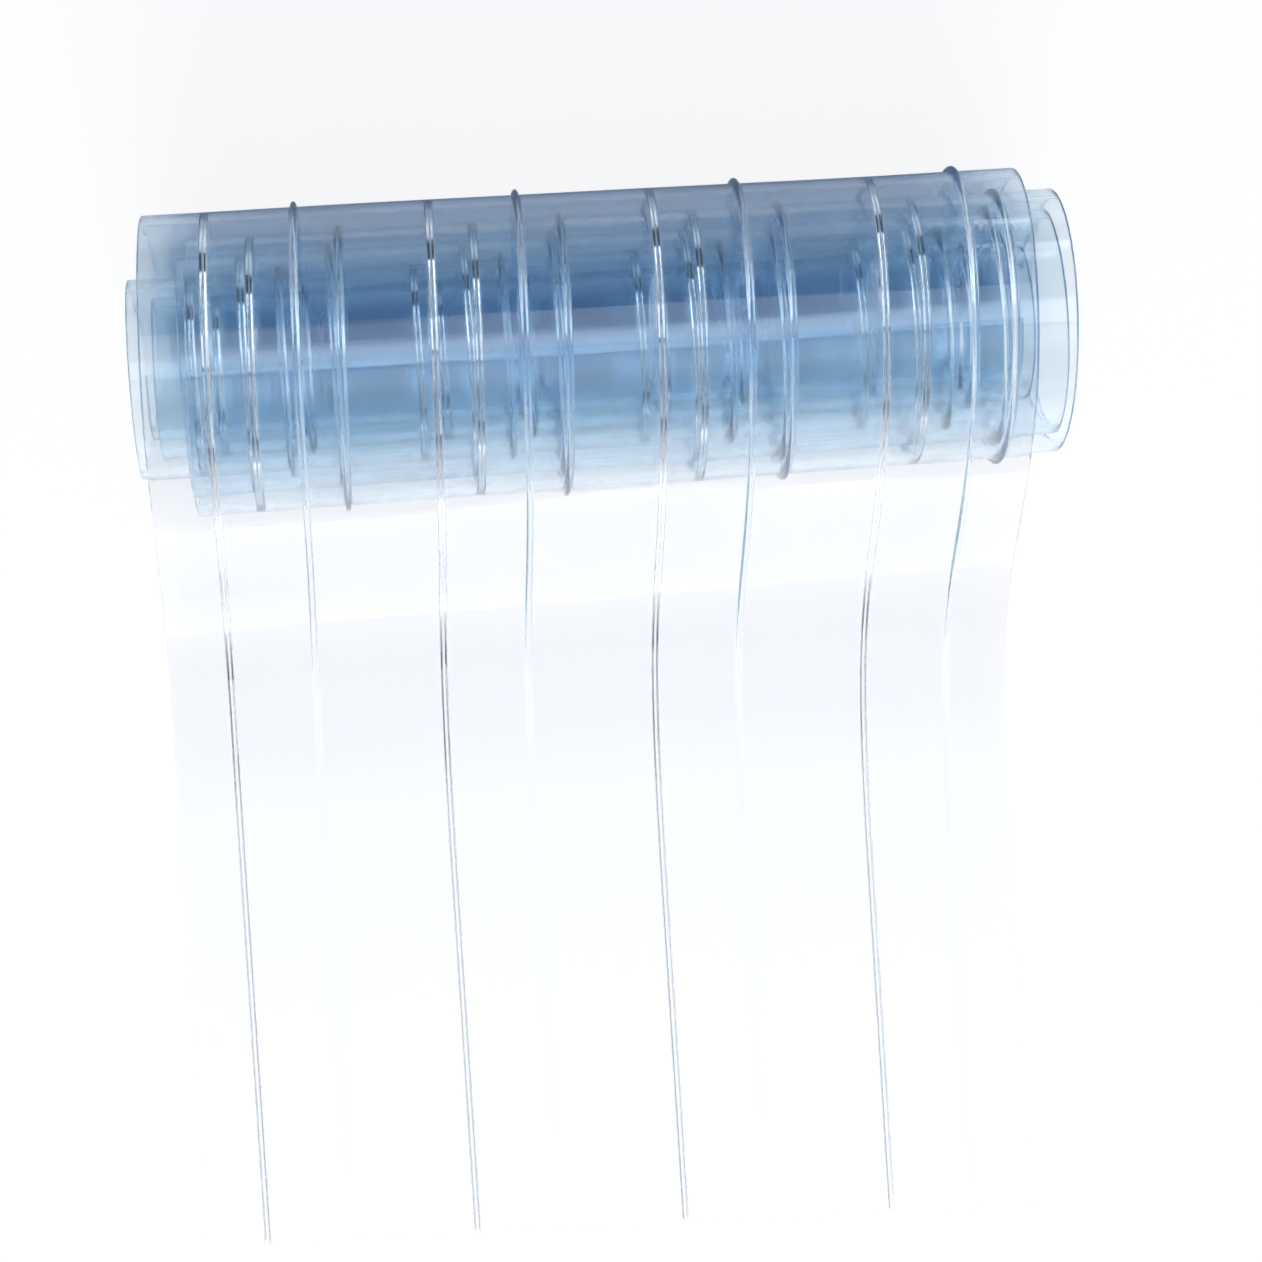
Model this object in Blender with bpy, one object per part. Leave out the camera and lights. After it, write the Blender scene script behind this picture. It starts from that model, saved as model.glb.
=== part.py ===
"""A ribbed, clear PVC strip for a strip curtain, wound into a loose roll with its free end laid out.

The strip is one extrusion: a flat web with low ribs on both faces, set in from opposite edges. It is
built in the two stretches that lie differently, the wound roll and the free tail, which meet face to
face. X runs along the roll, the tail leaves the top of the roll towards -Y, and +Z is up.
"""

import math

import bmesh
import bpy
import numpy as np

# Strip section: sizes in metres
STRIP_WIDTH = 0.200
WEB_THICKNESS = 0.0020
RIB_PITCH = 0.0504
RIB_MARGIN = 0.0144
RIB_HEIGHT = 0.0013
RIB_BASE_WIDTH = 0.0018
RIB_CROWN_WIDTH = 0.0010

# Roll: the clear bore inside the ribs, the gap between turns and how far it is wound
BORE_RADIUS = 0.0100
TURN_GAP = 0.00105
WOUND_TURNS = 5.22
RINGS_PER_TURN = 23
LEAVING_ANGLE = math.radians(130)
FLOOR_FLAT_DEPTH = 0.0005

# The outermost turn stands off the roll at the upper back
BACK_LIFT = 0.0025
BACK_LIFT_ANGLE = math.radians(45)
BACK_LIFT_REACH = math.radians(60)

# The roll is wound a little looser at its left end: the share of the radius from end to end
LOOSE_END_SHARE = 0.035

# Sideways place of the strip, as shares of its width: first where the tail leaves the roll, then at
# the back and the front of each turn in turn, from the outermost inwards
LEAVING_SHIFT_SHARE = 0.008
TURN_SHIFT_SHARES = (0.015, 0.055, 0.063, 0.052, 0.050, -0.006, -0.0075, 0.020, 0.020, 0.010, 0.010)

# Free tail: the drop from the roll to the floor, the stretch laid flat and its slanting cut
DROP_RUN = 0.1025
LEAVING_REACH_SHARE = 0.488
LANDING_REACH_SHARE = 0.668
FLAT_LENGTH = 0.0855
CUT_SLANT = 0.0054
DROP_STEPS = 22
SPLIT_GAP = 0.0003
GAP_POINTS_PER_RING = 8

# Sizes that follow from the ones above
RIBS_PER_FACE = math.floor((STRIP_WIDTH - 2 * RIB_MARGIN) / RIB_PITCH) + 1
TURN_PITCH = WEB_THICKNESS + RIB_HEIGHT + TURN_GAP
INNER_END_RADIUS = BORE_RADIUS + RIB_HEIGHT + WEB_THICKNESS / 2
WOUND_STEPS = round(WOUND_TURNS * RINGS_PER_TURN)
LEAVING_REACH = DROP_RUN * LEAVING_REACH_SHARE
LANDING_REACH = DROP_RUN * LANDING_REACH_SHARE

BLUE_TINT = (0.42, 0.60, 0.78, 1.0)
PALE_TINT = (0.86, 0.92, 0.98, 1.0)
GLOSS_ROUGHNESS = 0.12
PVC_IOR = 1.53
PVC_TRANSMISSION = 0.8
SHARP_ANGLE = math.radians(40)


def smooth(share):
    """Ease from 0 to 1 with level ends."""
    share = np.clip(share, 0.0, 1.0)
    return share * share * (3.0 - 2.0 * share)


def rib_points(centre):
    """The four section points of an inner rib: its two feet on the web and its flat crown."""
    face = -WEB_THICKNESS / 2
    crown = face - RIB_HEIGHT
    half_base = RIB_BASE_WIDTH / 2
    half_crown = RIB_CROWN_WIDTH / 2
    return [
        (centre - half_base, face),
        (centre - half_crown, crown),
        (centre + half_crown, crown),
        (centre + half_base, face),
    ]


def section():
    """The closed section of the strip: across its width, and away from its middle surface.

    The ribs of the inner face start at the left edge. The outer face is the same, turned half round.
    """
    left = -STRIP_WIDTH / 2
    face = -WEB_THICKNESS / 2
    points = [(left, face)]
    for rib in range(RIBS_PER_FACE):
        points += rib_points(left + RIB_MARGIN + rib * RIB_PITCH)
    inner = np.array(points + [(-left, face)])
    return np.concatenate([inner, -inner])


def turn_radius(angle):
    """The radius of the middle surface at an angle round the roll, counted from the back upwards."""
    wound = WOUND_TURNS - (LEAVING_ANGLE - angle) / (2 * math.pi)
    away = np.clip((angle - BACK_LIFT_ANGLE) / BACK_LIFT_REACH, -1.0, 1.0)
    lift = BACK_LIFT * np.cos(away * math.pi / 2) ** 2
    return INNER_END_RADIUS + TURN_PITCH * wound + lift


def wound_shift(angle):
    """The sideways shift of the wound strip, eased from one half turn to the next."""
    shares = np.array(TURN_SHIFT_SHARES)
    half_turns = np.clip(-angle / math.pi, 0.0, len(shares) - 1)
    index = np.minimum(half_turns.astype(int), len(shares) - 2)
    share = shares[index] + (shares[index + 1] - shares[index]) * smooth(half_turns - index)
    front = smooth(angle / LEAVING_ANGLE)
    share = share + (LEAVING_SHIFT_SHARE - shares[0]) * front
    return share * STRIP_WIDTH


def roll_size(across):
    """The size of the roll at a place across the strip, as a share of its size in the middle."""
    return 1.0 - LOOSE_END_SHARE * across / STRIP_WIDTH


def roll_centre(across):
    """The roll's centre at a place across the strip, so that its back and its underside are level."""
    size = roll_size(across)
    back = turn_radius(np.array(0.0))
    under = turn_radius(np.array(-math.pi / 2))
    height = under * size + WEB_THICKNESS / 2 + RIB_HEIGHT - FLOOR_FLAT_DEPTH
    return back * (1.0 - size), height


def wound_line(angles, across):
    """The middle surface of the wound turns, one row for each angle and one column for each place."""
    centre_y, centre_z = roll_centre(across)
    radius = turn_radius(angles)[:, None] * roll_size(across)[None, :]
    y = centre_y + radius * np.cos(angles)[:, None]
    z = centre_z + radius * np.sin(angles)[:, None]
    return y, z


def landing_line():
    """Where the tail comes down to lie flat, and how high its middle surface lies there."""
    leaving_y, _ = wound_line(np.array([LEAVING_ANGLE]), np.array([0.0]))
    return leaving_y[0, 0] - DROP_RUN, RIB_HEIGHT + WEB_THICKNESS / 2


def drop_line(shares, across):
    """The middle surface of the drop, a cubic curve from the roll's tangent down to the floor."""
    start_y, start_z = wound_line(np.array([LEAVING_ANGLE]), across)
    end_y, lie = landing_line()
    t = shares[:, None]
    weights = ((1 - t) ** 3, 3 * t * (1 - t) ** 2, 3 * t * t * (1 - t), t ** 3)
    leave_y = start_y - LEAVING_REACH * math.sin(LEAVING_ANGLE)
    leave_z = start_z + LEAVING_REACH * math.cos(LEAVING_ANGLE)
    y = weights[0] * start_y + weights[1] * leave_y
    y = y + weights[2] * (end_y + LANDING_REACH) + weights[3] * end_y
    z = weights[0] * start_z + weights[1] * leave_z + (weights[2] + weights[3]) * lie
    return y, z


def flat_line(across):
    """The last line of the flat stretch, cut a little out of square."""
    landing_y, lie = landing_line()
    y = landing_y - FLAT_LENGTH - CUT_SLANT * across / STRIP_WIDTH
    return y[None, :], np.full_like(across, lie)[None, :]


def rings(y, z, shift, profile, direction):
    """Section rings along a stretch: the section is set square to the line and moved sideways."""
    across, away = profile[:, 0], profile[:, 1]
    run_y, run_z = direction
    length = np.hypot(run_y, run_z)
    x = across[None, :] + shift[:, None]
    ring_y = y + away[None, :] * run_z / length
    ring_z = z - away[None, :] * run_y / length
    return np.stack([x + 0.0 * y, ring_y, np.maximum(ring_z, 0.0)], axis=-1)


def wound_rings(profile):
    """The rings of the roll, from the inner end of the strip to where the tail leaves it."""
    first = LEAVING_ANGLE - 2 * math.pi * WOUND_TURNS
    angles = np.linspace(first, LEAVING_ANGLE, WOUND_STEPS + 1)
    y, z = wound_line(angles, profile[:, 0])
    run = (-np.sin(angles)[:, None] + 0.0 * y, np.cos(angles)[:, None] + 0.0 * y)
    return rings(y, z, wound_shift(angles), profile, run)


def tail_rings(profile):
    """The rings of the free tail, from the roll down to the floor and out to the cut end."""
    across = profile[:, 0]
    shares = np.linspace(SPLIT_GAP / (3 * LEAVING_REACH), 1.0, DROP_STEPS + 1)
    drop_y, drop_z = drop_line(shares, across)
    step = SPLIT_GAP / DROP_RUN
    ahead_y, ahead_z = drop_line(shares + step, across)
    behind_y, behind_z = drop_line(shares - step, across)
    end_y, end_z = flat_line(across)
    y = np.vstack([drop_y, end_y])
    z = np.vstack([drop_z, end_z])
    run_y = np.vstack([ahead_y - behind_y, -np.ones_like(end_y)])
    run_z = np.vstack([ahead_z - behind_z, np.zeros_like(end_z)])
    run_z[-2] = 0.0
    shift = LEAVING_SHIFT_SHARE * STRIP_WIDTH * (1.0 - smooth(np.append(shares, 1.0)))
    return rings(y, z, shift, profile, (run_y, run_z))


def least_gap(roll, place):
    """The least gap between neighbouring turns at one place of the section, less a rib between them.

    It is measured between points along the inner face and along the outer face of the web.
    """
    inner = roll[:, place, 1:]
    outer = roll[:, roll.shape[1] - 1 - place, 1:]
    between = np.linspace(0.0, 1.0, GAP_POINTS_PER_RING, endpoint=False)[None, :, None]
    inner = (inner[:-1, None] * (1 - between) + inner[1:, None] * between).reshape(-1, 2)
    outer = (outer[:-1, None] * (1 - between) + outer[1:, None] * between).reshape(-1, 2)
    ring = np.arange(len(inner)) / GAP_POINTS_PER_RING
    apart = np.linalg.norm(inner[:, None] - outer[None, :], axis=2)
    apart[np.abs(ring[:, None] - ring[None, :]) < RINGS_PER_TURN / 2] = np.inf
    return float(apart.min()) - RIB_HEIGHT


def loft(name, stretch, material, collection):
    """One closed body through the section rings, with its two cut ends filled."""
    mesh = bpy.data.meshes.new(name)
    shape = bmesh.new()
    rows = [[shape.verts.new(point) for point in ring] for ring in stretch.tolist()]
    for row, following in zip(rows, rows[1:]):
        for index, vertex in enumerate(row):
            beside = (index + 1) % len(row)
            shape.faces.new((vertex, row[beside], following[beside], following[index]))
    shape.faces.new(rows[0][::-1])
    shape.faces.new(rows[-1])
    bmesh.ops.recalc_face_normals(shape, faces=shape.faces)
    shape.to_mesh(mesh)
    shape.free()
    mesh.shade_smooth()
    mesh.set_sharp_from_angle(angle=SHARP_ANGLE)
    mesh.materials.append(material)
    piece = bpy.data.objects.new(name, mesh)
    collection.objects.link(piece)
    return piece


def clear_pvc(name, tint):
    """Clear plasticised PVC, as blue as the layers of it that lie on each other."""
    material = bpy.data.materials.new(name)
    material.use_nodes = True
    shader = material.node_tree.nodes["Principled BSDF"]
    shader.inputs["Base Color"].default_value = tint
    shader.inputs["Roughness"].default_value = GLOSS_ROUGHNESS
    shader.inputs["Metallic"].default_value = 0.0
    shader.inputs["IOR"].default_value = PVC_IOR
    shader.inputs["Transmission Weight"].default_value = PVC_TRANSMISSION
    material.diffuse_color = tint
    return material


def main():
    for leftover in list(bpy.data.objects):
        bpy.data.objects.remove(leftover, do_unlink=True)
    collection = bpy.data.collections.new("pvc_strip_curtain")
    bpy.context.scene.collection.children.link(collection)
    profile = section()
    roll = wound_rings(profile)
    tail = tail_rings(profile)
    ends = (least_gap(roll, 0), least_gap(roll, len(profile) // 2 - 1))
    print(f"least gap between turns, left and right: {ends[0]:.5f} and {ends[1]:.5f} m")
    points = np.concatenate([roll.reshape(-1, 3), tail.reshape(-1, 3)])
    middle = (points.min(axis=0) + points.max(axis=0)) / 2
    middle[2] = 0.0
    loft("wound_roll", roll - middle, clear_pvc("wound_clear_pvc", BLUE_TINT), collection)
    loft("free_tail", tail - middle, clear_pvc("single_layer_clear_pvc", PALE_TINT), collection)


main()
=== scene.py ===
"""A clear, ribbed PVC strip for a strip curtain, wound into a loose roll, with its free end laid out."""

import math

import bpy
import numpy as np
from mathutils import Matrix, Vector


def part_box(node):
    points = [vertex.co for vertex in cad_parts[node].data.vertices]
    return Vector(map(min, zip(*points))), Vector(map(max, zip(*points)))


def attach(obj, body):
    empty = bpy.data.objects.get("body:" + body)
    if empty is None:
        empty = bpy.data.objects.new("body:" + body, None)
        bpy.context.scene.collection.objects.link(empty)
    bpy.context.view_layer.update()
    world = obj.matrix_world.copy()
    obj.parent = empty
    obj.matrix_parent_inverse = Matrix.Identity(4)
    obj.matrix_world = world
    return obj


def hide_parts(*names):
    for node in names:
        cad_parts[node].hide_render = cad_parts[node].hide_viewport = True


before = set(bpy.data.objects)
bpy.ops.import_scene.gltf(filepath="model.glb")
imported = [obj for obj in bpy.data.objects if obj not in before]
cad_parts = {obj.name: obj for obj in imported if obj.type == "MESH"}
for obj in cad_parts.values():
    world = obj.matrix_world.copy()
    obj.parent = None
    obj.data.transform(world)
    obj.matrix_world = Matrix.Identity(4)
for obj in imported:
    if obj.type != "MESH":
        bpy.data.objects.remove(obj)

bl_info = {
    "name": "Ribbed Strip Roll",
    "version": (1, 0, 0),
    "blender": (4, 5, 0),
    "location": "View3D > Sidebar > Strip Roll",
    "description": "Builds a loose roll of clear ribbed door strip, and the white table it is shown on",
    "category": "Object",
}

# Winding, in radians and turns, counted from the back of the roll upwards. The trim keeps the inner cut
# end out of the dark middle of the roll, where the clear turns would show it
WOUND_TURNS = 5.22
INNER_TRIM_TURNS = 0.12
LEAVING_ANGLE = math.radians(130)
BACK_LIFT_ANGLE = math.radians(45)
BACK_LIFT_REACH = math.radians(60)
# From where the tail leaves, the roll's painted shade, its darker shadow and its ribs' gloss come in over
# this angle
ROLL_SHADE_REACH = math.radians(70)
LOOSE_END_SHARE = 0.035

# Sideways place of the strip, as shares of its width: where the tail leaves, then at the back and the
# front of each turn, from the outermost inwards
LEAVING_SHIFT_SHARE = 0.008
TURN_SHIFT_SHARES = (0.015, 0.055, 0.063, 0.052, 0.050, -0.006, -0.0075, 0.020, 0.020, 0.010, 0.010)

# How far the drop keeps each end's direction, as shares of its run
LEAVING_REACH_SHARE = 0.488
LANDING_REACH_SHARE = 0.668

# Soft waves of the wound strip: metres for each radian of a wave, its start in radians, and its share
LONG_WAVE = 0.0155
LONG_WAVE_START = 1.3
LONG_WAVE_SWAY = 2.1
SWAY_WIDTH = 0.043
SHORT_WAVE = 0.0072
SHORT_WAVE_SLANT = 0.031
SHORT_WAVE_START = 0.6
SHORT_WAVE_SHARE = 0.8
SIDE_WAVE = 0.0125
SIDE_WAVE_SLANT = 0.024
SIDE_WAVE_START = 2.0
SIDE_WAVE_SHARE = 0.6

# How finely the strip is made
RINGS_PER_TURN = 84
DROP_STEPS = 84
FLAT_STEPS = 30
RIB_STEPS = 10
FOOT_STEPS = 2
FOOT_SLOPE = math.radians(85)
FIELD_POINTS = 4
FIELD_HEM = 0.00015
CORNER_STEPS = 3
SHARP_ANGLE = math.radians(50)

# Noise of the plastic's faces: how often per metre a line changes along itself, and the haze along and
# across the strip, the noise's detail, and the part of its range over which clear turns to hazy
CROSS_LINE_CHANGES = 9.0
DRAW_LINE_CHANGES = 7.0
LINE_DETAIL = 2.0
HAZE_CHANGES = (22.0, 30.0)
HAZE_DETAIL = 3.0
HAZE_RANGE = (0.45, 0.75)
NOISE_ROUGHNESS = 0.55
STREAK_STRENGTH = 0.2

# Where the studio changes colour, by how far up or back a direction points, as a share of its length
CEILING_RANGE = (0.0, 0.6)
SWEEP_RANGE = (0.0, 0.4)
BACK_RANGE = (-0.3, 0.5)

# Overhead strips: their edges along Y from the back forwards, and their radiances
STRIP_X = 0.075
STRIP_Z = 1.05
STRIP_WIDTH = 0.7
BACK_STRIP_EDGES = (0.35, -0.03)
BACK_STRIP_RADIANCE = 1.30
FRONT_STRIP_EDGES = (-0.07, -0.34, -0.42, -0.50, -0.58)
FRONT_STRIP_RADIANCES = (0.60, 0.44, 0.30, 0.14)

# Panels beside the strips, which only the ribs mirror: middles along X, then edges along Y from the back
# forwards, and radiance, by name
PANEL_MIDDLES = {"left": -0.93, "right": 1.13}
PANEL_Z = 1.0
PANEL_WIDTH = 1.15
PANELS = {
    "panel_back": ((2.55, 0.35), 4.0),
    "panel_front": ((-0.60, -1.90), 1.3),
    "panel": ((0.35, -0.60), 0.5),
}

# Low walls at both sides, which only the plastic mirrors or shows
WALL_MIDDLES = {"left": -1.7, "right": 1.7}
WALL_Y = -0.3
WALL_Z = 0.4
WALL_LENGTH = 3.0
WALL_HEIGHT = 0.8
WALL_RADIANCE = 1.0

# Fill lights for the floor, which aren't mirrored: place, width, height and radiance by name
FILLS = {
    "front_fill": ((0.0, -2.2, 1.37), 1.6, 0.8, 25.8),
    "upper_fill": ((0.0, -0.6, 1.2), 0.8, 0.4, 3.5),
}

# Camera film, and how often a ray may pass through or off the many turns
SENSOR_MILLIMETRES = 36.0
CLEAR_BOUNCES = 64
GLOSS_BOUNCES = 24

# Where a Mix node has its two values and its result, by the kind of value
MIX_SOCKETS = {"FLOAT": (2, 3, 0), "RGBA": (6, 7, 2)}
WHITE = (1.0, 1.0, 1.0, 1.0)


def length(name, description, default):
    """A size in metres, as a property."""
    return bpy.props.FloatProperty(
        name=name, description=description, default=default, unit="LENGTH", precision=5
    )


def colour(name, description, default):
    """A colour, as a property."""
    return bpy.props.FloatVectorProperty(
        name=name, description=description, default=default, subtype="COLOR", size=3
    )


def number(name, description, default):
    """A plain number, as a property."""
    return bpy.props.FloatProperty(name=name, description=description, default=default)


def turning(name, description, degrees):
    """An angle, as a property with its default in degrees."""
    return bpy.props.FloatProperty(
        name=name, description=description, default=math.radians(degrees), subtype="ANGLE"
    )


class StripSizes(bpy.types.PropertyGroup):
    """Sizes of the strip, of its winding and of its free end"""

    strip_width: length("Strip width", "Width of the strip from edge to edge", 0.200)
    web_thickness: length("Web thickness", "Thickness of the strip between its ribs", 0.0020)
    rib_pitch: length("Rib pitch", "Distance between the ribs of one face", 0.0504)
    rib_margin: length("Rib margin", "From the strip's edge to the first rib", 0.0144)
    rib_height: length("Rib height", "How far a rib stands off the web", 0.0013)
    rib_width: length("Rib width", "Width of a rib's bead, without its foot", 0.00144)
    corner_radius: length("Corner radius", "Rounding of the slit edges", 0.00025)
    bore_radius: length("Bore radius", "Clear radius in the middle of the roll", 0.0100)
    turn_gap: length("Turn gap", "Air between a rib's crown and the next turn", 0.00105)
    floor_flat_depth: length("Floor flat depth", "How far the roll is flattened below", 0.0005)
    back_lift: length("Back lift", "How far the last turn stands off at the upper back", 0.0025)
    drop_run: length("Drop run", "How far in front of the roll the tail lands", 0.1025)
    flat_length: length("Flat length", "Length of the tail that lies flat", 0.0855)
    cut_slant: length("Cut slant", "How far out of square the end is cut", 0.0054)
    wave_height: length("Wave height", "Height of the soft waves in the wound strip", 0.00022)


class StripFinish(bpy.types.PropertyGroup):
    """Colour, gloss and fine lines of the plastic"""

    depth_tint: colour("Depth tint", "What the plastic turns light to with depth", (0.0, 0.525, 0.90))
    depth_density: number("Depth density", "How fast it does so, per metre", 20.0)
    tail_tint: colour("Tail tint", "Tint of each face of the flat tail", (1.0, 0.968, 0.960))
    # Painted shade: the wound turns are tinted darker and bluer than the tail, for the shade deep in the
    # roll
    roll_painted_shade: colour("Roll tint", "Tint of each face of the wound turns", (0.938, 0.972, 0.991))
    tail_shadow: colour("Tail shadow", "Light through each face of the tail", (1.0, 1.0, 1.0))
    roll_shadow: colour("Roll shadow", "Light through each face of the roll", (0.82, 0.882, 0.920))
    gloss_roughness: number("Gloss roughness", "Roughness of the polished faces", 0.03)
    haze_roughness: number("Haze roughness", "Roughness where the faces are scuffed", 0.12)
    refraction: number("Refraction", "Refractive index of soft PVC", 1.46)
    rib_roughness: number("Rib roughness", "Roughness of the ribs, which the roller polishes", 0.015)
    rib_gloss: number("Rib gloss", "How much of the ribs' own gloss the wound turns show", 0.2)
    rib_gloss_index: number("Rib gloss index", "Refractive index of that gloss", 2.2)
    cross_lines: number("Cross lines", "Fine lines across the strip, per metre of its length", 420.0)
    draw_lines: number("Draw lines", "Fine lines along the strip, per metre of its width", 380.0)
    streak_height: length("Streak height", "Height of these lines", 0.0001)


class StageLook(bpy.types.PropertyGroup):
    """Floor, studio and camera"""

    floor_size: length("Floor size", "Side of the white floor", 12.0)
    floor_drop: length("Floor drop", "How far the floor lies under the strip", 0.0003)
    floor_colour: colour("Floor colour", "Colour of the floor under the lamps", (0.92, 0.925, 0.93))
    shadow_share: number("Shadow share", "How much of the floor's own shade the eye sees", 0.10)
    glass_shadow_share: number("Shadow share in plastic", "The same for what the plastic shows", 1.0)
    ceiling_colour: colour("Ceiling colour", "Grey studio above the table", (0.115, 0.12, 0.135))
    back_colour: colour("Back colour", "Dim studio behind the roll", (0.03, 0.03, 0.03))
    front_colour: colour("Front colour", "Grey studio in front of the roll", (0.20, 0.20, 0.20))
    sweep_colour: colour("Sweep colour", "Where the floor sweeps up in front", (0.90, 0.90, 0.90))
    camera_height: length("Camera height", "Height of the camera over the floor", 0.830)
    camera_right: length("Camera right", "Where the camera stands along X", -0.0571)
    camera_back: length("Camera back", "Where the camera stands along Y", 0.0408)
    camera_lens: number("Camera lens", "Focal length in millimetres", 98.2)
    camera_turn: turning("Camera turn", "Turn about the line of sight", 3.757)
    camera_tip: turning("Camera tip", "Tip forwards from straight down", 1.07)
    camera_swing: turning("Camera swing", "Swing sideways from straight down", -4.4)


def smooth(part):
    """Ease from 0 to 1 with level ends: 3 t squared less 2 t cubed."""
    part = np.clip(part, 0.0, 1.0)
    return part * part * (3.0 - 2.0 * part)


def rib_bead(sizes):
    """One rib, as places across from its centre and heights off the web, from its left foot to the right.

    The bead is half an ellipse: across is half the width times the cosine of an angle, and up is the
    height times its sine. Where its side is as steep as the foot's slope, a small arc with the same
    tangent leads down to the web, and its radius is the height there over 1 less the slope's cosine.
    """
    half = sizes.rib_width / 2
    start = math.atan(sizes.rib_height / (half * math.tan(FOOT_SLOPE)))
    turn = np.linspace(math.pi - start, start, RIB_STEPS + 1)
    low = sizes.rib_height * math.sin(start)
    arc = low / (1.0 - math.cos(FOOT_SLOPE))
    slope = np.linspace(0.0, FOOT_SLOPE, FOOT_STEPS + 1)[:-1]
    foot = half * math.cos(start) + arc * (math.sin(FOOT_SLOPE) - np.sin(slope))
    rise = arc * (1.0 - np.cos(slope))
    across = np.concatenate([-foot, half * np.cos(turn), foot[::-1]])
    return across, np.concatenate([rise, sizes.rib_height * np.sin(turn), rise[::-1]])


def half_section(sizes):
    """The inner face of the section, from the middle of the left edge to the middle of the right one.

    The rows are the places across, the heights, and 1 on a rib or 0 beside it. The edges are rounded
    by quarter circles, and a narrow hem at each end of a flat field keeps its shading flat.
    """
    half = sizes.strip_width / 2
    face = -sizes.web_thickness / 2
    radius = sizes.corner_radius
    quarter = np.linspace(0.0, math.pi / 2, CORNER_STEPS)
    columns = []

    def add(places, heights, mark):
        heights = np.broadcast_to(heights, places.shape)
        columns.append(np.vstack([places, heights, np.full_like(places, mark)]))

    def add_field(left, right):
        add(np.linspace(left + FIELD_HEM, right - FIELD_HEM, FIELD_POINTS), face, 0.0)

    add(-half + radius - radius * np.cos(quarter), face + radius - radius * np.sin(quarter), 0.0)
    bead, rise = rib_bead(sizes)
    count = math.floor((sizes.strip_width - 2 * sizes.rib_margin) / sizes.rib_pitch) + 1
    from_x = -half + radius
    for rib in range(count):
        centre = -half + sizes.rib_margin + rib * sizes.rib_pitch
        add_field(from_x, centre + bead[0])
        add(centre + bead, face - rise, 1.0)
        from_x = centre + bead[-1]
    add_field(from_x, half - radius)
    add(half - radius + radius * np.sin(quarter), face + radius - radius * np.cos(quarter), 0.0)
    return np.concatenate(columns, axis=1)


def section(sizes):
    """The closed section: the inner face, and the same turned half round for the outer face."""
    inner = half_section(sizes)
    outer = inner * np.array([[-1.0], [-1.0], [1.0]])
    return np.concatenate([inner, outer], axis=1)


def turn_radius(sizes, angle):
    """The radius of the middle surface: it grows evenly with the angle, plus the lift at the back.

    The lift is the square of a cosine, highest at its own angle and gone at its reach to either side.
    """
    pitch = sizes.web_thickness + sizes.rib_height + sizes.turn_gap
    wound = WOUND_TURNS - (LEAVING_ANGLE - angle) / (2 * math.pi)
    away = np.clip((angle - BACK_LIFT_ANGLE) / BACK_LIFT_REACH, -1.0, 1.0)
    lift = sizes.back_lift * np.cos(away * math.pi / 2) ** 2
    return sizes.bore_radius + sizes.rib_height + sizes.web_thickness / 2 + pitch * wound + lift


def wound_shift(sizes, angle):
    """The sideways shift of the wound strip, eased from one half turn to the next."""
    shares = np.array(TURN_SHIFT_SHARES)
    half_turns = np.clip(-angle / math.pi, 0.0, len(shares) - 1)
    index = np.minimum(half_turns.astype(int), len(shares) - 2)
    shift = shares[index] + (shares[index + 1] - shares[index]) * smooth(half_turns - index)
    front = smooth(angle / LEAVING_ANGLE)
    return (shift + (LEAVING_SHIFT_SHARE - shares[0]) * front) * sizes.strip_width


def wound_line(sizes, angle, across):
    """The wound middle surface, as y and z: a centre plus the radius times the angle's cosine and sine.

    The radius shrinks evenly across the strip, and the centre keeps the back and the underside level.
    """
    size = 1.0 - LOOSE_END_SHARE * across / sizes.strip_width
    back = turn_radius(sizes, np.array(0.0))
    under = turn_radius(sizes, np.array(-math.pi / 2))
    centre_y = back * (1.0 - size)
    centre_z = under * size + sizes.web_thickness / 2 + sizes.rib_height - sizes.floor_flat_depth
    radius = turn_radius(sizes, angle)[:, None] * size[None, :]
    return centre_y + radius * np.cos(angle)[:, None], centre_z + radius * np.sin(angle)[:, None]


def wound_stretch(sizes, across):
    """The wound turns, from the inner cut end to where the tail leaves, along the spiral.

    A stretch is y and z, the direction in y and z, the shift, the share of the waves and of the roll's
    painted shade.
    """
    turns = WOUND_TURNS - INNER_TRIM_TURNS
    first = LEAVING_ANGLE - 2 * math.pi * turns
    angle = np.linspace(first, LEAVING_ANGLE, round(turns * RINGS_PER_TURN) + 1)
    y, z = wound_line(sizes, angle, across)
    run_y = np.broadcast_to(-np.sin(angle)[:, None], y.shape)
    run_z = np.broadcast_to(np.cos(angle)[:, None], y.shape)
    # Share of the roll's painted shade, which also darkens its shadow and brings in its ribs' gloss
    tint = smooth((LEAVING_ANGLE - angle) / ROLL_SHADE_REACH)
    return y, z, run_y, run_z, wound_shift(sizes, angle), np.ones_like(angle), tint


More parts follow.
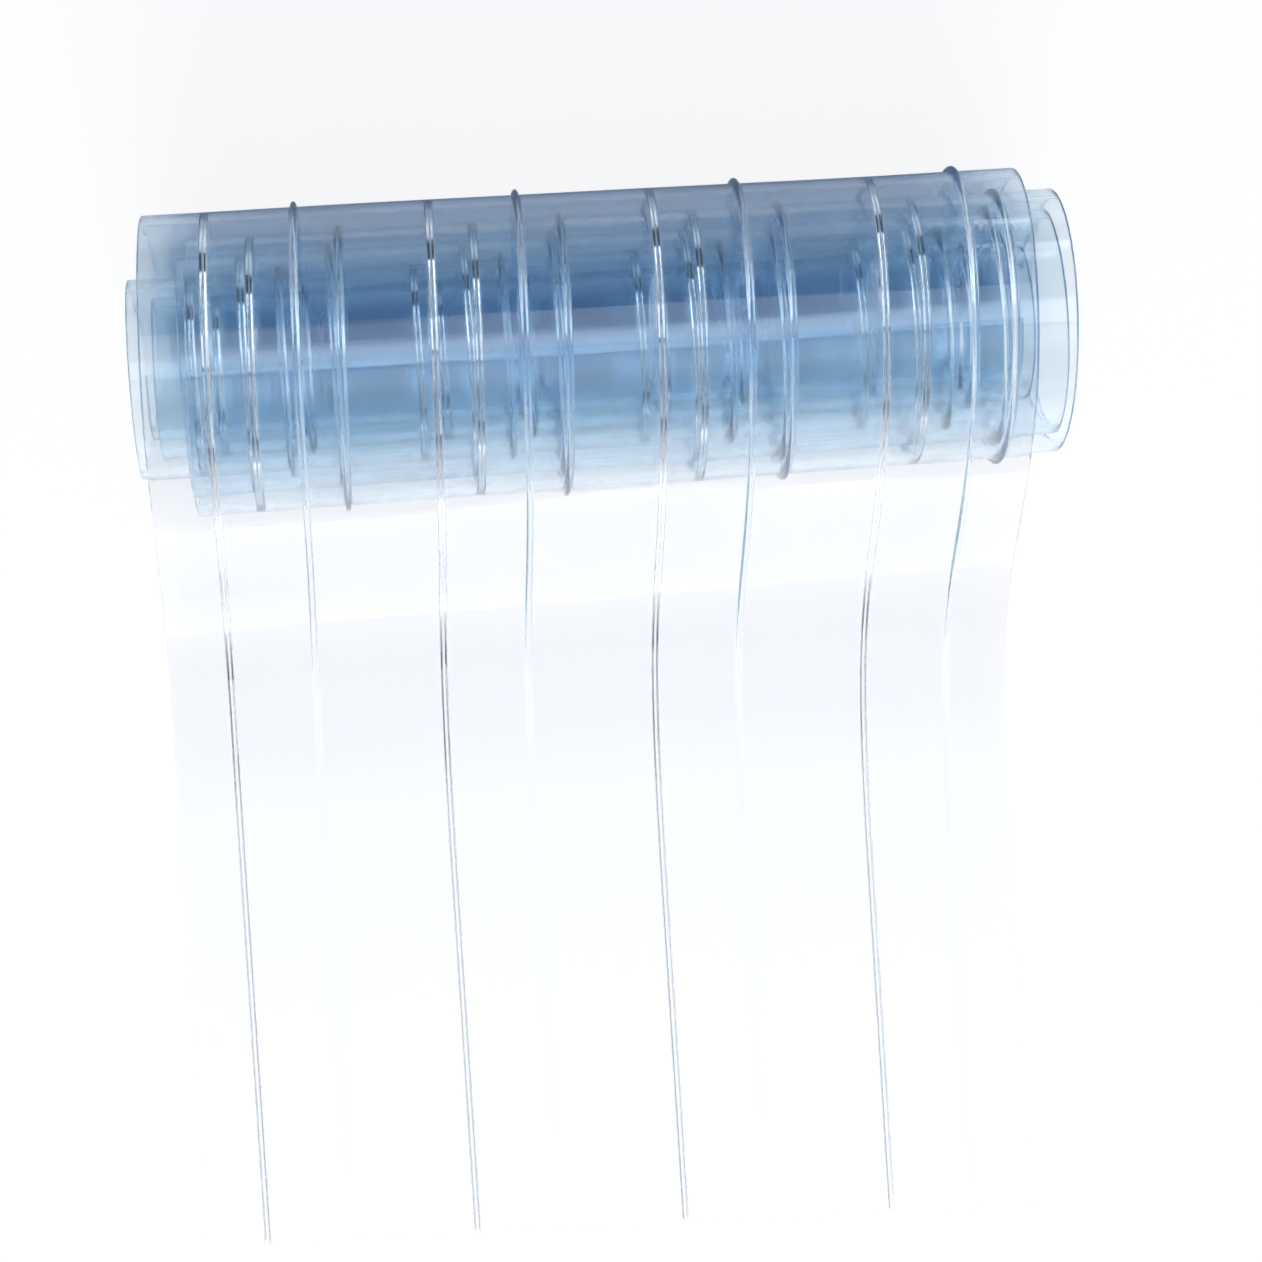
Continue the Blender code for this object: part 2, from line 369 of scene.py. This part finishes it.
def drop_stretch(sizes, start_y, start_z, landing_y, lie):
    """The drop from the roll's tangent to the floor: a cubic curve between four corners.

    A point is the sum of the corners by the curve's four weights at t, and its direction is their sum
    by the slopes of the weights. The weights are the terms of 1 less t plus t, to the third power.
    """
    leaving_reach = LEAVING_REACH_SHARE * sizes.drop_run
    landing_reach = LANDING_REACH_SHARE * sizes.drop_run
    corners_y = (
        start_y,
        start_y - leaving_reach * math.sin(LEAVING_ANGLE),
        np.full_like(start_y, landing_y + landing_reach),
        np.full_like(start_y, landing_y),
    )
    corners_z = (
        start_z,
        start_z + leaving_reach * math.cos(LEAVING_ANGLE),
        np.full_like(start_z, lie),
        np.full_like(start_z, lie),
    )
    t = np.linspace(0.0, 1.0, DROP_STEPS + 1)[1:, None]
    weights = ((1 - t) ** 3, 3 * t * (1 - t) ** 2, 3 * t * t * (1 - t), t ** 3)
    slopes = (-3 * (1 - t) ** 2, 3 * (1 - t) * (1 - 3 * t), 3 * t * (2 - 3 * t), 3 * t * t)

    def blend(shares, corners):
        return sum(part * corner for part, corner in zip(shares, corners))

    settling = 1 - smooth(t[:, 0])
    shift = LEAVING_SHIFT_SHARE * sizes.strip_width * settling
    return (
        blend(weights, corners_y), blend(weights, corners_z),
        blend(slopes, corners_y), blend(slopes, corners_z),
        shift, settling, np.zeros_like(shift),
    )


def flat_stretch(sizes, across, landing_y, lie):
    """The flat end: straight lines over the floor, each as long as the slanting cut leaves it."""
    t = np.linspace(0.0, 1.0, FLAT_STEPS + 1)[1:, None]
    reach = sizes.flat_length + sizes.cut_slant * across / sizes.strip_width
    y = landing_y - reach[None, :] * t
    still = np.zeros(FLAT_STEPS)
    return y, np.full_like(y, lie), -np.ones_like(y), np.zeros_like(y), still, still, still


def strip_lines(sizes, across):
    """The strip's middle surface from its inner cut end to its outer one: turns, drop and flat end."""
    lie = sizes.rib_height + sizes.web_thickness / 2
    leaving = wound_line(sizes, np.array([LEAVING_ANGLE]), np.zeros(1))
    landing_y = leaving[0][0, 0] - sizes.drop_run
    wound = wound_stretch(sizes, across)
    drop = drop_stretch(sizes, wound[0][-1:], wound[1][-1:], landing_y, lie)
    flat = flat_stretch(sizes, across, landing_y, lie)
    return [np.concatenate(parts) for parts in zip(wound, drop, flat)]


def soft_waves(sizes, along, across):
    """Soft waves of the wound strip: the sum of three sines, by their shares.

    The long one runs along the strip and sways with the width, the short one runs along and slants,
    and the side one runs across and slants.
    """
    u = along[:, None]
    v = across[None, :]
    waves = np.sin(u / LONG_WAVE + LONG_WAVE_SWAY * np.sin(v / SWAY_WIDTH) + LONG_WAVE_START)
    waves = waves + SHORT_WAVE_SHARE * np.sin(u / SHORT_WAVE + v / SHORT_WAVE_SLANT + SHORT_WAVE_START)
    waves = waves + SIDE_WAVE_SHARE * np.sin(v / SIDE_WAVE + u / SIDE_WAVE_SLANT + SIDE_WAVE_START)
    return sizes.wave_height * waves / (1.0 + SHORT_WAVE_SHARE + SIDE_WAVE_SHARE)


def strip_surface(sizes):
    """The strip's skin as rings of points: the section set square to the middle surface.

    Also gives the length along the strip at each ring, measured in the middle of the inner face, the
    section, and the share of the roll's painted shade at each ring. Nothing reaches below the floor.
    """
    profile = section(sizes)
    across, away = profile[0], profile[1]
    y, z, run_y, run_z, shift, waviness, tint = strip_lines(sizes, across)
    run = np.hypot(run_y, run_z)
    middle = len(across) // 4
    steps = np.hypot(np.diff(y[:, middle]), np.diff(z[:, middle]))
    along = np.concatenate([[0.0], np.cumsum(steps)])
    stand = away[None, :] + soft_waves(sizes, along, across) * waviness[:, None]
    ring_x = across[None, :] + shift[:, None]
    ring_y = y + stand * run_z / run
    ring_z = np.maximum(z - stand * run_y / run, 0.0)
    return np.stack([ring_x, ring_y, ring_z], axis=-1), along, profile, tint


def set_in_frame(points):
    """Moves the strip so that the low corner of its cut end is the low corner of the tail's solid."""
    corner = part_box("free_tail")[0]
    low = points[-1].min(axis=0)
    return points + np.array([corner[0] - low[0], corner[1] - low[1], 0.0])


def ring_faces(rings, count):
    """The faces through the rings, as corner indices and each face's first corner.

    A quad joins two neighbours of a ring to the same two of the next one, and a many-sided face caps
    each end.
    """
    ring = np.arange(rings - 1)[:, None] * count
    here = np.arange(count)[None, :]
    beside = (here + 1) % count
    quads = np.stack([ring + here, ring + beside, ring + count + beside, ring + count + here], axis=-1)
    first_cap = np.arange(count)[::-1]
    last_cap = (rings - 1) * count + np.arange(count)
    starts = np.append(np.arange(0, quads.size, 4), [quads.size, quads.size + count])
    return np.concatenate([quads.ravel(), first_cap, last_cap]), starts


def ring_mesh(name, points, along, profile, tint):
    """A closed mesh through the rings, with a UV map in metres, and with marks on its points.

    The mark on_rib is 1 on a rib, and wound rises from 0 on the tail to 1 in the roll, as the share of
    the roll's painted shade.
    """
    rings, count = points.shape[:2]
    corners, starts = ring_faces(rings, count)
    mesh = bpy.data.meshes.new(name)
    mesh.vertices.add(rings * count)
    mesh.vertices.foreach_set("co", points.astype(np.float32).ravel())
    mesh.loops.add(len(corners))
    mesh.loops.foreach_set("vertex_index", corners.astype(np.int32))
    mesh.polygons.add(len(starts))
    mesh.polygons.foreach_set("loop_start", starts.astype(np.int32))
    mesh.update(calc_edges=True)

    def spread(values):
        return np.broadcast_to(values, (rings, count)).astype(np.float32).ravel()

    uv = np.stack([spread(along[:, None])[corners], spread(profile[0])[corners]], axis=-1)
    mesh.uv_layers.new(name="strip_metres").data.foreach_set("uv", uv.ravel())
    mesh.attributes.new("on_rib", "FLOAT", "POINT").data.foreach_set("value", spread(profile[2]))
    mesh.attributes.new("wound", "FLOAT", "POINT").data.foreach_set("value", spread(tint[:, None]))
    mesh.shade_smooth()
    mesh.set_sharp_from_angle(angle=SHARP_ANGLE)
    mesh.validate()
    return mesh


def opaque(shade):
    """A colour with full alpha, as a shader's sockets take it."""
    return (*shade, 1.0)


def put_in(tree, socket, value):
    """Links an input to another node's output, or sets it to a plain value."""
    if isinstance(value, bpy.types.NodeSocket):
        tree.links.new(value, socket)
    else:
        socket.default_value = value


def add_node(tree, kind, at, **values):
    """A shader node at a place in the tree, with sockets or plain values on its named inputs."""
    node = tree.nodes.new(kind)
    node.location = at
    for name, value in values.items():
        put_in(tree, node.inputs[name.replace("_", " ")], value)
    return node


def add_math(tree, operation, at, *values):
    """A Math node with sockets or plain numbers on its inputs, as the socket that it puts out."""
    node = add_node(tree, "ShaderNodeMath", at)
    node.operation = operation
    for socket, value in zip(node.inputs, values):
        put_in(tree, socket, value)
    return node.outputs[0]


def add_range(tree, value, limits, at, ends=(0.0, 1.0)):
    """A value's way between two limits, mapped to the way between two ends, as a socket."""
    node = add_node(
        tree, "ShaderNodeMapRange", at,
        Value=value, From_Min=limits[0], From_Max=limits[1], To_Min=ends[0], To_Max=ends[1],
    )
    return node.outputs[0]


def add_mix(tree, kind, factor, first, second, at):
    """A mix of two numbers or colours of one kind by a factor, as the socket that it puts out."""
    node = add_node(tree, "ShaderNodeMix", at)
    node.data_type = kind
    first_input, second_input, output = MIX_SOCKETS[kind]
    put_in(tree, node.inputs[0], factor)
    put_in(tree, node.inputs[first_input], first)
    put_in(tree, node.inputs[second_input], second)
    return node.outputs[output]


def add_shader_mix(tree, factor, first, second, at):
    """A mix of two shaders by a factor, as the socket that it puts out."""
    node = add_node(tree, "ShaderNodeMixShader", at)
    for socket, value in zip(node.inputs, (factor, first, second)):
        put_in(tree, socket, value)
    return node.outputs[0]


def stretched_noise(group, places, scales, detail, at):
    """Noise over the strip's length and width, each multiplied by its own scale."""
    spot = add_node(group, "ShaderNodeCombineXYZ", (at[0] - 200, at[1]))
    for socket, place, scale in zip(spot.inputs, places, scales):
        put_in(group, socket, add_math(group, "MULTIPLY", (at[0] - 400, at[1]), place, scale))
    noise = add_node(
        group, "ShaderNodeTexNoise", at, Scale=1.0, Detail=detail, Roughness=NOISE_ROUGHNESS
    )
    noise.noise_dimensions = "2D"
    put_in(group, noise.inputs["Vector"], spot.outputs[0])
    return noise.outputs[0]


def streak_group():
    """A group that puts out a height of fine lines across and along the strip, and a map of its haze."""
    group = bpy.data.node_groups.new("calender_streaks", "ShaderNodeTree")
    for name in ("Length", "Across", "Cross lines per metre", "Draw lines per metre"):
        group.interface.new_socket(name, in_out="INPUT", socket_type="NodeSocketFloat")
    for name in ("Height", "Haze"):
        group.interface.new_socket(name, in_out="OUTPUT", socket_type="NodeSocketFloat")
    start = add_node(group, "NodeGroupInput", (-900, 0))
    places = (start.outputs["Length"], start.outputs["Across"])
    cross_scales = (start.outputs["Cross lines per metre"], CROSS_LINE_CHANGES)
    draw_scales = (DRAW_LINE_CHANGES, start.outputs["Draw lines per metre"])
    cross = stretched_noise(group, places, cross_scales, LINE_DETAIL, (-300, 200))
    draw = stretched_noise(group, places, draw_scales, LINE_DETAIL, (-300, 0))
    haze = stretched_noise(group, places, HAZE_CHANGES, HAZE_DETAIL, (-300, -200))
    height = add_math(group, "ADD", (100, 100), cross, draw)
    add_node(group, "NodeGroupOutput", (500, 0), Height=height, Haze=haze)
    return group


def clear_pvc(finish):
    """Clear, light blue plasticised PVC: glossy, with fine streaks, and bluer the more of it lies deep,
    with a painted shade that makes the wound turns darker and bluer than the tail.

    Shadow rays and the floor's light pass straight through it and lose a share at each face, so the
    lamps light the floor under it.
    """
    material = bpy.data.materials.new("clear_ribbed_pvc")
    material.use_nodes = True
    tree = material.node_tree
    rib = add_node(tree, "ShaderNodeAttribute", (-900, 300))
    rib.attribute_name = "on_rib"
    on_rib = rib.outputs["Fac"]
    turn = add_node(tree, "ShaderNodeAttribute", (-900, 600))
    turn.attribute_name = "wound"
    wound = turn.outputs["Fac"]

    place = add_node(tree, "ShaderNodeUVMap", (-1300, 0))
    place.uv_map = "strip_metres"
    split = add_node(tree, "ShaderNodeSeparateXYZ", (-1100, 0), Vector=place.outputs[0])
    streaks = add_node(tree, "ShaderNodeGroup", (-900, 0))
    streaks.node_tree = streak_group()
    put_in(tree, streaks.inputs["Length"], split.outputs[0])
    put_in(tree, streaks.inputs["Across"], split.outputs[1])
    put_in(tree, streaks.inputs["Cross lines per metre"], finish.cross_lines)
    put_in(tree, streaks.inputs["Draw lines per metre"], finish.draw_lines)
    beside = add_math(tree, "SUBTRACT", (-700, -300), 1.0, on_rib)
    relief = add_math(tree, "MULTIPLY", (-600, -300), streaks.outputs["Height"], beside)
    bump = add_node(
        tree, "ShaderNodeBump", (-500, -300),
        Strength=STREAK_STRENGTH, Distance=finish.streak_height, Height=relief,
    )
    web_ends = (finish.gloss_roughness, finish.haze_roughness)
    web_roughness = add_range(tree, streaks.outputs["Haze"], HAZE_RANGE, (-500, 0), web_ends)
    roughness = add_mix(tree, "FLOAT", on_rib, web_roughness, finish.rib_roughness, (-300, 0))
    wound_rib = add_math(tree, "MULTIPLY", (-500, 300), on_rib, wound)
    rib_gloss = add_math(tree, "MULTIPLY", (-300, 300), wound_rib, finish.rib_gloss)
    # Painted shade: the wound turns take a darker, bluer base colour than the tail
    tail_tint_and_roll_shade = (opaque(finish.tail_tint), opaque(finish.roll_painted_shade))

    shader = tree.nodes["Principled BSDF"]
    surface = {
        "Base Color": add_mix(tree, "RGBA", wound, *tail_tint_and_roll_shade, (-300, 200)),
        "Metallic": 0.0,
        "Roughness": roughness,
        "IOR": finish.refraction,
        "Normal": bump.outputs[0],
        "Transmission Weight": 1.0,
        "Coat Weight": rib_gloss,
        "Coat Roughness": finish.rib_roughness,
        "Coat IOR": finish.rib_gloss_index,
    }
    for name, value in surface.items():
        put_in(tree, shader.inputs[name], value)
    depth = add_node(
        tree, "ShaderNodeVolumeAbsorption", (0, -300),
        Color=opaque(finish.depth_tint), Density=finish.depth_density,
    )

    shades = (opaque(finish.tail_shadow), opaque(finish.roll_shadow))
    shade = add_mix(tree, "RGBA", wound, *shades, (100, 500))
    clear = add_node(tree, "ShaderNodeBsdfTransparent", (300, 0), Color=shade)
    path = add_node(tree, "ShaderNodeLightPath", (300, 400))
    rays = (path.outputs["Is Shadow Ray"], path.outputs["Is Diffuse Ray"])
    straight = add_math(tree, "MAXIMUM", (400, 300), *rays)
    end = tree.nodes["Material Output"]
    cast = add_shader_mix(tree, straight, shader.outputs[0], clear.outputs[0], (500, 0))
    put_in(tree, end.inputs["Surface"], cast)
    put_in(tree, end.inputs["Volume"], depth.outputs[0])
    return material


class OBJECT_OT_ribbed_strip(bpy.types.Operator):
    """Builds the strip as one skin, wound and laid out, in place of both of the frame's solids"""

    bl_idname = "object.ribbed_strip"
    bl_label = "Ribbed Strip"

    def execute(self, context):
        sizes = context.scene.strip_sizes
        points, along, profile, tint = strip_surface(sizes)
        mesh = ring_mesh("ribbed_strip", set_in_frame(points), along, profile, tint)
        mesh.materials.append(clear_pvc(context.scene.strip_finish))
        strip = bpy.data.objects.new("ribbed_strip", mesh)
        context.scene.collection.objects.link(strip)
        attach(strip, "root")
        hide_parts("wound_roll", "free_tail")
        return {"FINISHED"}


def white_floor(look):
    """White to the eye and in what the plastic shows of it, but for the shares of its own shade."""
    material = bpy.data.materials.new("white_table")
    material.use_nodes = True
    tree = material.node_tree
    tree.nodes.clear()
    path = add_node(tree, "ShaderNodeLightPath", (-900, 200))
    rays = (path.outputs["Is Glossy Ray"], path.outputs["Is Transmission Ray"])
    indirect = add_math(tree, "MAXIMUM", (-700, 100), *rays)
    dimmed = add_math(tree, "MULTIPLY", (-500, 100), indirect, 1.0 - look.glass_shadow_share)
    terms = (path.outputs["Is Camera Ray"], 1.0 - look.shadow_share, dimmed)
    weight = add_math(tree, "MULTIPLY_ADD", (-300, 200), *terms)
    paint = add_node(tree, "ShaderNodeBsdfDiffuse", (-300, 0), Color=opaque(look.floor_colour))
    glow = add_node(tree, "ShaderNodeEmission", (-300, -200), Color=WHITE, Strength=1.0)
    table = add_shader_mix(tree, weight, paint.outputs[0], glow.outputs[0], (0, 0))
    add_node(tree, "ShaderNodeOutputMaterial", (200, 0), Surface=table)
    return material


def studio_world(look):
    """A studio that is white to the eye.

    Its light is pale low down in front, where the floor sweeps up, grey overhead and dim behind the roll.
    """
    world = bpy.data.worlds.new("studio")
    bpy.context.scene.world = world
    world.use_nodes = True
    tree = world.node_tree
    tree.nodes.clear()
    place = add_node(tree, "ShaderNodeTexCoord", (-1100, 0))
    split = add_node(tree, "ShaderNodeSeparateXYZ", (-900, 0), Vector=place.outputs["Generated"])
    back, up = split.outputs[1], split.outputs[2]
    height = add_range(tree, up, CEILING_RANGE, (-700, 100))
    behind = add_range(tree, back, BACK_RANGE, (-700, -200))
    sweep = add_range(tree, up, SWEEP_RANGE, (-700, -500))
    fronts = (opaque(look.sweep_colour), opaque(look.front_colour))
    front = add_mix(tree, "RGBA", sweep, *fronts, (-500, -500))
    low = add_mix(tree, "RGBA", behind, front, opaque(look.back_colour), (-300, -200))
    room = add_mix(tree, "RGBA", height, low, opaque(look.ceiling_colour), (-100, 100))
    seen = add_node(tree, "ShaderNodeLightPath", (-100, 400)).outputs["Is Camera Ray"]
    shown = add_mix(tree, "RGBA", seen, room, WHITE, (100, 200))
    light = add_node(tree, "ShaderNodeBackground", (300, 0), Color=shown)
    add_node(tree, "ShaderNodeOutputWorld", (500, 0), Surface=light.outputs[0])


def softbox(name, place, aim, width, height, radiance, lights="all"):
    """A rectangular lamp that looks at a point. Its power is pi times its area times its radiance.

    One that lights the "floor" isn't mirrored in the plastic, and one that lights the "gloss" is only
    mirrored or seen through the plastic.
    """
    lamp = bpy.data.lights.new(name, "AREA")
    lamp.shape = "RECTANGLE"
    lamp.size = width
    lamp.size_y = height
    lamp.energy = math.pi * width * height * radiance
    holder = bpy.data.objects.new(name, lamp)
    holder.location = place
    holder.rotation_euler = (Vector(aim) - Vector(place)).to_track_quat("-Z", "Y").to_euler()
    holder.visible_glossy = lights != "floor"
    holder.visible_transmission = lights != "floor"
    holder.visible_diffuse = lights != "gloss"
    bpy.context.scene.collection.objects.link(holder)


def overhead_box(name, x, z, edges, width, radiance, lights="all"):
    """A softbox that looks straight down, from one edge along Y to the other."""
    y = (edges[0] + edges[1]) / 2
    softbox(name, (x, y, z), (x, y, 0.0), width, edges[0] - edges[1], radiance, lights)


def hang_softboxes():
    """The lamps: strips over the roll, panels and walls beside it, and fills in front of it."""
    overhead_box("over_back", STRIP_X, STRIP_Z, BACK_STRIP_EDGES, STRIP_WIDTH, BACK_STRIP_RADIANCE)
    for step, radiance in enumerate(FRONT_STRIP_RADIANCES):
        edges = FRONT_STRIP_EDGES[step:step + 2]
        overhead_box(f"over_front_{step}", STRIP_X, STRIP_Z, edges, STRIP_WIDTH, radiance)
    for side, x in PANEL_MIDDLES.items():
        for name, (edges, radiance) in PANELS.items():
            overhead_box(f"{name}_{side}", x, PANEL_Z, edges, PANEL_WIDTH, radiance, "gloss")
    for side, x in WALL_MIDDLES.items():
        place = (x, WALL_Y, WALL_Z)
        aim = (0.0, WALL_Y, WALL_Z)
        softbox(f"wall_{side}", place, aim, WALL_LENGTH, WALL_HEIGHT, WALL_RADIANCE, "gloss")
    for name, (place, width, height, radiance) in FILLS.items():
        softbox(name, place, (0.0, 0.0, 0.0), width, height, radiance, "floor")


def set_camera(scene, look):
    """The camera looks straight down, turned about its line of sight, then tipped and swung a little."""
    turn, tip, swing = look.camera_turn, look.camera_tip, look.camera_swing
    right = Vector((math.cos(turn), -math.sin(turn), 0.0))
    up = Vector((math.sin(turn), math.cos(turn), 0.0))
    ahead = Vector((0.0, 0.0, -1.0))
    up, ahead = up * math.cos(tip) + ahead * math.sin(tip), ahead * math.cos(tip) - up * math.sin(tip)
    right, ahead = (
        right * math.cos(swing) + ahead * math.sin(swing),
        ahead * math.cos(swing) - right * math.sin(swing),
    )
    lens = bpy.data.cameras.new("camera")
    lens.lens = look.camera_lens
    lens.sensor_width = SENSOR_MILLIMETRES
    camera = bpy.data.objects.new("camera", lens)
    basis = Matrix((right, up, -ahead)).transposed().to_4x4()
    basis.translation = (look.camera_right, look.camera_back, look.camera_height)
    camera.matrix_world = basis
    scene.collection.objects.link(camera)
    scene.camera = camera


def set_light_paths(scene):
    """Lets rays pass all the faces of the roll, and shows colours as they are."""
    scene.view_settings.view_transform = "Standard"
    scene.cycles.max_bounces = CLEAR_BOUNCES
    scene.cycles.transmission_bounces = CLEAR_BOUNCES
    scene.cycles.glossy_bounces = GLOSS_BOUNCES
    scene.cycles.transparent_max_bounces = CLEAR_BOUNCES


class OBJECT_OT_white_stage(bpy.types.Operator):
    """Lays the white floor, hangs the softboxes and sets up the camera over the roll"""

    bl_idname = "object.white_stage"
    bl_label = "White Stage"

    def execute(self, context):
        look = context.scene.stage_look
        half = look.floor_size / 2
        signs = ((-1, -1), (1, -1), (1, 1), (-1, 1))
        corners = [(x * half, y * half, -look.floor_drop) for x, y in signs]
        mesh = bpy.data.meshes.new("studio_floor")
        mesh.from_pydata(corners, [], [(0, 1, 2, 3)])
        mesh.materials.append(white_floor(look))
        floor = bpy.data.objects.new("studio_floor", mesh)
        context.scene.collection.objects.link(floor)
        studio_world(look)
        hang_softboxes()
        set_camera(context.scene, look)
        set_light_paths(context.scene)
        return {"FINISHED"}


class VIEW3D_PT_strip_roll(bpy.types.Panel):
    """Lists the steps that build the roll and its stage"""

    bl_idname = "VIEW3D_PT_strip_roll"
    bl_label = "Strip Roll"
    bl_space_type = "VIEW_3D"
    bl_region_type = "UI"
    bl_category = "Strip Roll"

    def draw(self, context):
        for operator in OPERATORS:
            self.layout.operator(operator.bl_idname)


OPERATORS = (OBJECT_OT_ribbed_strip, OBJECT_OT_white_stage)
CLASSES = (StripSizes, StripFinish, StageLook, *OPERATORS, VIEW3D_PT_strip_roll)


def register():
    """Registers the classes, and gives the scene its sizes, finish and stage."""
    for item in CLASSES:
        bpy.utils.register_class(item)
    bpy.types.Scene.strip_sizes = bpy.props.PointerProperty(type=StripSizes)
    bpy.types.Scene.strip_finish = bpy.props.PointerProperty(type=StripFinish)
    bpy.types.Scene.stage_look = bpy.props.PointerProperty(type=StageLook)


def unregister():
    """Takes back what register did, in the opposite order."""
    del bpy.types.Scene.stage_look
    del bpy.types.Scene.strip_finish
    del bpy.types.Scene.strip_sizes
    for item in reversed(CLASSES):
        bpy.utils.unregister_class(item)


def main():
    """Builds everything in order."""
    register()
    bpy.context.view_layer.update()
    bpy.ops.object.ribbed_strip()
    bpy.ops.object.white_stage()


if __name__ == "__main__":
    main()
